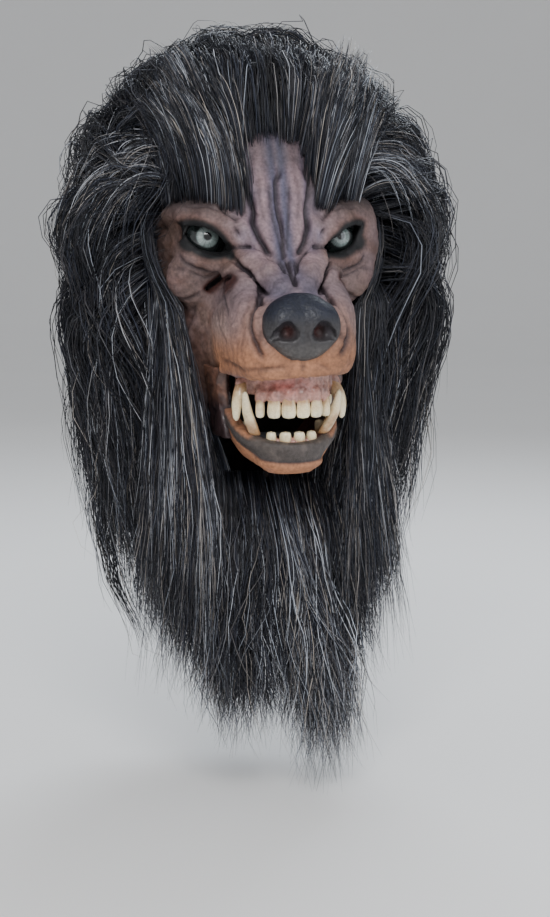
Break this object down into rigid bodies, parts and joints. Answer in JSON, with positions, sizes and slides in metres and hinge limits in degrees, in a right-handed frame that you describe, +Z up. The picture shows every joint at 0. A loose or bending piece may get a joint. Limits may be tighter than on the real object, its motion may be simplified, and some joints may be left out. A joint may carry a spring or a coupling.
{
  "type": "latex halloween mask",
  "caption": "Over-the-head latex wolf mask with long shaggy mane, snarling muzzle, hinged lower jaw, fangs and glossy eyes.",
  "frame": {"origin": "flat underside of the crown pad, where the top of the wearer's head sits", "axes": "+Z up, the face looks along -Y, +X is the wearer's left"},
  "size_m": [0.3732, 0.3682, 0.628],
  "materials": {
    "face_latex": "painted matte latex, tan with purple-grey shading",
    "nose_rubber": "satin black rubber, grained",
    "web_latex": "dark grey satin stretch latex",
    "gum_latex": "wet-look pink-brown latex",
    "tongue_latex": "wet-look latex",
    "tooth_resin": "gloss ivory resin, stained at the roots",
    "eye_acrylic": "clear-coated acrylic, painted iris",
    "eye_cup_plastic": "black",
    "mane_hair": "long charcoal synthetic fibre with grey strands",
    "lining_foam": "open-cell foam"
  },
  "bodies": {
    "head": {"back_mane": "mane_hair", "brow_hair_left": "mane_hair", "brow_hair_right": "mane_hair", "cheek_web_left": "web_latex", "cheek_web_right": "web_latex", "crown_mane": "mane_hair", "crown_pad": "lining_foam", "eye_cup_left": "eye_cup_plastic", "eye_cup_right": "eye_cup_plastic", "eye_left": "eye_acrylic", "eye_right": "eye_acrylic", "face_skin": "face_latex", "forehead_pad": "lining_foam", "hood_skin": "face_latex", "nape_pad": "lining_foam", "nose_pad": "nose_rubber", "side_mane_left": "mane_hair", "side_mane_right": "mane_hair", "temple_pad_left": "lining_foam", "temple_pad_right": "lining_foam", "throat_mane": "mane_hair", "upper_canine_left": "tooth_resin", "upper_canine_right": "tooth_resin", "upper_gum": "gum_latex", "upper_incisor_left_1": "tooth_resin", "upper_incisor_left_2": "tooth_resin", "upper_incisor_left_3": "tooth_resin", "upper_incisor_right_1": "tooth_resin", "upper_incisor_right_2": "tooth_resin", "upper_incisor_right_3": "tooth_resin", "upper_premolar_left": "tooth_resin", "upper_premolar_right": "tooth_resin"},
    "jaw": {"chin_cup": "lining_foam", "jaw_skin": "face_latex", "lower_canine_left": "tooth_resin", "lower_canine_right": "tooth_resin", "lower_gum": "gum_latex", "lower_incisor_left_1": "tooth_resin", "lower_incisor_left_2": "tooth_resin", "lower_incisor_right_1": "tooth_resin", "lower_incisor_right_2": "tooth_resin", "lower_premolar_left": "tooth_resin", "lower_premolar_right": "tooth_resin", "tongue": "tongue_latex"}
  },
  "joints": [
    {"name": "jaw_open", "type": "hinge", "parent": "head", "child": "jaw", "pos_m": [0, 0, -0.15], "axis": [1, 0, 0], "range_deg": [-2, 10], "stiffness_Nm_per_rad": 2.5, "deforming": ["cheek_web_left", "cheek_web_right"]}
  ]
}
